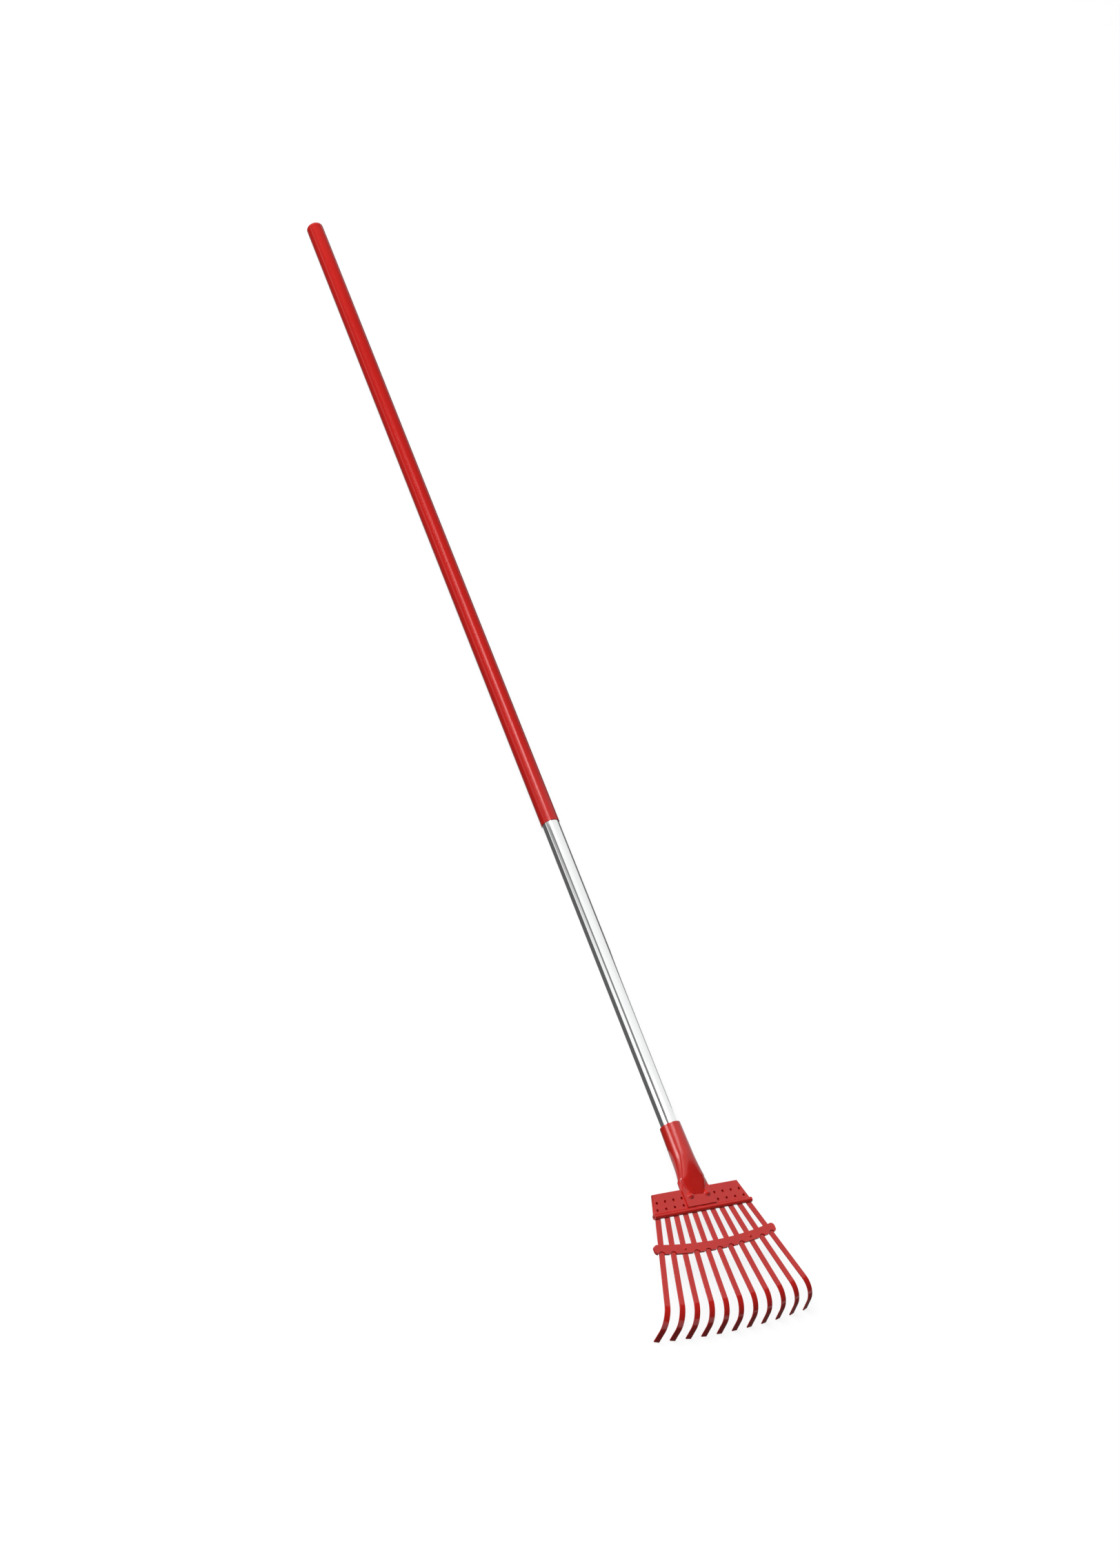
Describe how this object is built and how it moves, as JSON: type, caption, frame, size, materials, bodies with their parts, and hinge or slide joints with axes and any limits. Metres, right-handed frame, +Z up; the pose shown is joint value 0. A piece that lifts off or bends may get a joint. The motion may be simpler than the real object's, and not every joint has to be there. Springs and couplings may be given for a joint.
{
  "type": "leaf rake",
  "caption": "Narrow fixed-tine leaf rake: tube handle with long grip sleeve, flattened-tube ferrule, folded head plate with a rolled lip, fanned flat spring tines with bent tips and a riveted brace.",
  "frame": {"origin": "middle of the bounding box at floor level, the rake lying on its tine tips and its grip end", "axes": "+X along the rake towards the tines, +Y across the head, +Z up, out of the head's upper face"},
  "size_m": [1.6864, 0.2174, 0.0416],
  "materials": {
    "tube": "polished",
    "grip": "satin",
    "painted_steel": "gloss",
    "rivet": "plain"
  },
  "bodies": {
    "root": {"handle_tube": "tube", "grip_sleeve": "grip", "ferrule": "painted_steel", "handle_rivet": "rivet", "head_plate": "painted_steel", "flange_rivet_left": "painted_steel", "flange_rivet_right": "painted_steel", "tine_01": "painted_steel", "tine_02": "painted_steel", "tine_03": "painted_steel", "tine_04": "painted_steel", "tine_05": "painted_steel", "tine_06": "painted_steel", "tine_07": "painted_steel", "tine_08": "painted_steel", "tine_09": "painted_steel", "tine_10": "painted_steel", "tine_11": "painted_steel", "brace_front": "painted_steel", "brace_rear": "painted_steel", "brace_rivet_left": "painted_steel", "brace_rivet_right": "painted_steel"}
  },
  "joints": []
}
